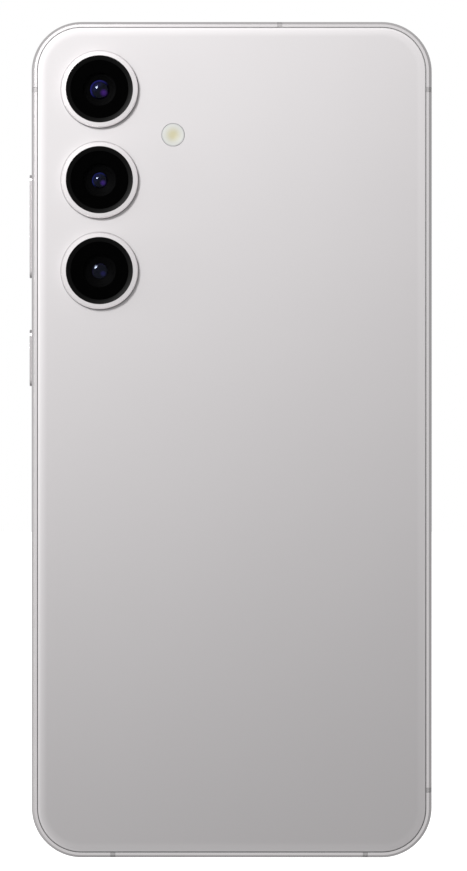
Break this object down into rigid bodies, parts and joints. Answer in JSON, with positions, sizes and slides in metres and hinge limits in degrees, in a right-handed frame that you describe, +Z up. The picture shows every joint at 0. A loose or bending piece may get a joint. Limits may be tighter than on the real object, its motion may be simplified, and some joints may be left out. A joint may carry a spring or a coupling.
{
  "type": "smartphone",
  "caption": "Slab smartphone with a frosted glass rear cover, rear lenses in raised metal rings, a flat-sided metal frame with side keys, and a glass display front.",
  "frame": {"origin": "middle of the bottom edge, at mid width and mid thickness of the frame", "axes": "+Z up the length, +Y out of the display, -Y out of the rear cover, +X to the right seen from behind"},
  "size_m": [0.0764, 0.0088, 0.1585],
  "materials": {
    "frame_metal": "satin, fine-blasted and anodised silver",
    "antenna_plastic": "matte grey, flush with the frame",
    "frosted_glass": "frosted, pale silver-grey, opaque",
    "adhesive": "black foam tape",
    "ring_metal": "bright satin silver",
    "black_glass": "polished, black behind",
    "lens": "dark coated lens in a black barrel",
    "module_plastic": "black moulded",
    "flash_diffuser": "milky with a pale yellow middle",
    "circuit_board": "green solder mask",
    "black_rubber": "matte black",
    "flex_film": "amber film",
    "display_film": "dark laminated film",
    "steel": "plain stamped steel",
    "copper": "bare copper",
    "battery_cell": "dark wrapped pouch",
    "ferrite": "dark grey sheet",
    "heavy_metal": "sintered grey"
  },
  "bodies": {
    "phone": {"frame": "frame_metal", "antenna_band_left": "antenna_plastic", "antenna_band_right_upper": "antenna_plastic", "antenna_band_right_lower": "antenna_plastic", "antenna_band_top": "antenna_plastic", "antenna_band_bottom_left": "antenna_plastic", "antenna_band_bottom_right": "antenna_plastic", "rear_glass": "frosted_glass", "rear_adhesive": "adhesive", "display_adhesive": "adhesive", "lens_ring_top": "ring_metal", "lens_ring_middle": "ring_metal", "lens_ring_bottom": "ring_metal", "lens_window_top": "black_glass", "lens_window_middle": "black_glass", "lens_window_bottom": "black_glass", "lens_barrel_top": "lens", "camera_body_top": "module_plastic", "camera_body_middle": "module_plastic", "camera_body_bottom": "module_plastic", "flash_window": "flash_diffuser", "flash_board": "circuit_board", "side_key_flex": "flex_film", "display_glass": "black_glass", "earpiece_mesh": "module_plastic", "display_panel": "display_film", "front_camera": "lens", "earpiece_speaker": "steel", "vapour_chamber": "copper", "fingerprint_sensor": "display_film", "usb_shell": "steel", "usb_tongue": "module_plastic", "sim_reader": "steel", "main_board": "circuit_board", "processor_shield": "steel", "radio_shield": "steel", "sub_board": "circuit_board", "battery": "battery_cell", "board_link_flex": "flex_film", "charging_coil": "copper", "charging_ferrite": "ferrite", "upper_cover": "module_plastic", "loudspeaker_box": "module_plastic", "vibration_case": "steel", "screw_upper_left": "steel", "screw_upper_right": "steel", "screw_middle_left": "steel", "screw_middle_right": "steel", "screw_lower_side": "steel", "screw_lower_inner": "steel"},
    "volume_key_body": {"volume_key": "frame_metal", "volume_key_seal": "black_rubber"},
    "power_key_body": {"power_key": "frame_metal", "power_key_seal": "black_rubber"},
    "sim_tray_body": {"sim_tray": "frame_metal", "sim_tray_seal": "black_rubber"},
    "vibration_mass_body": {"vibration_mass": "heavy_metal"},
    "main_lens_body": {"lens_barrel_middle": "lens"},
    "tele_lens_body": {"lens_barrel_bottom": "lens"},
    "diaphragm_body": {"loudspeaker_diaphragm": "black_rubber"}
  },
  "joints": [
    {"name": "volume_rock", "type": "hinge", "parent": "phone", "child": "volume_key_body", "pos_m": [-0.0365, 0, 0.1198], "axis": [0, 1, 0], "range_deg": [-1.1, 1.1], "stiffness_Nm_per_rad": 0.05},
    {"name": "power_press", "type": "slide", "parent": "phone", "child": "power_key_body", "axis": [1, 0, 0], "range_m": [0, 0.00025], "stiffness_N_per_m": 400},
    {"name": "sim_tray_slide", "type": "slide", "parent": "phone", "child": "sim_tray_body", "axis": [0, 0, -1], "range_m": [0, 0.017]},
    {"name": "vibration_slide", "type": "slide", "parent": "phone", "child": "vibration_mass_body", "axis": [0, 0, 1], "range_m": [-0.0005, 0.0005], "stiffness_N_per_m": 500},
    {"name": "main_focus", "type": "slide", "parent": "phone", "child": "main_lens_body", "axis": [0, -1, 0], "range_m": [0, 0.00035], "stiffness_N_per_m": 150},
    {"name": "tele_focus", "type": "slide", "parent": "phone", "child": "tele_lens_body", "axis": [0, -1, 0], "range_m": [0, 0.00035], "stiffness_N_per_m": 150},
    {"name": "loudspeaker_stroke", "type": "slide", "parent": "phone", "child": "diaphragm_body", "axis": [0, 1, 0], "range_m": [-0.0003, 0.0003], "stiffness_N_per_m": 400}
  ]
}
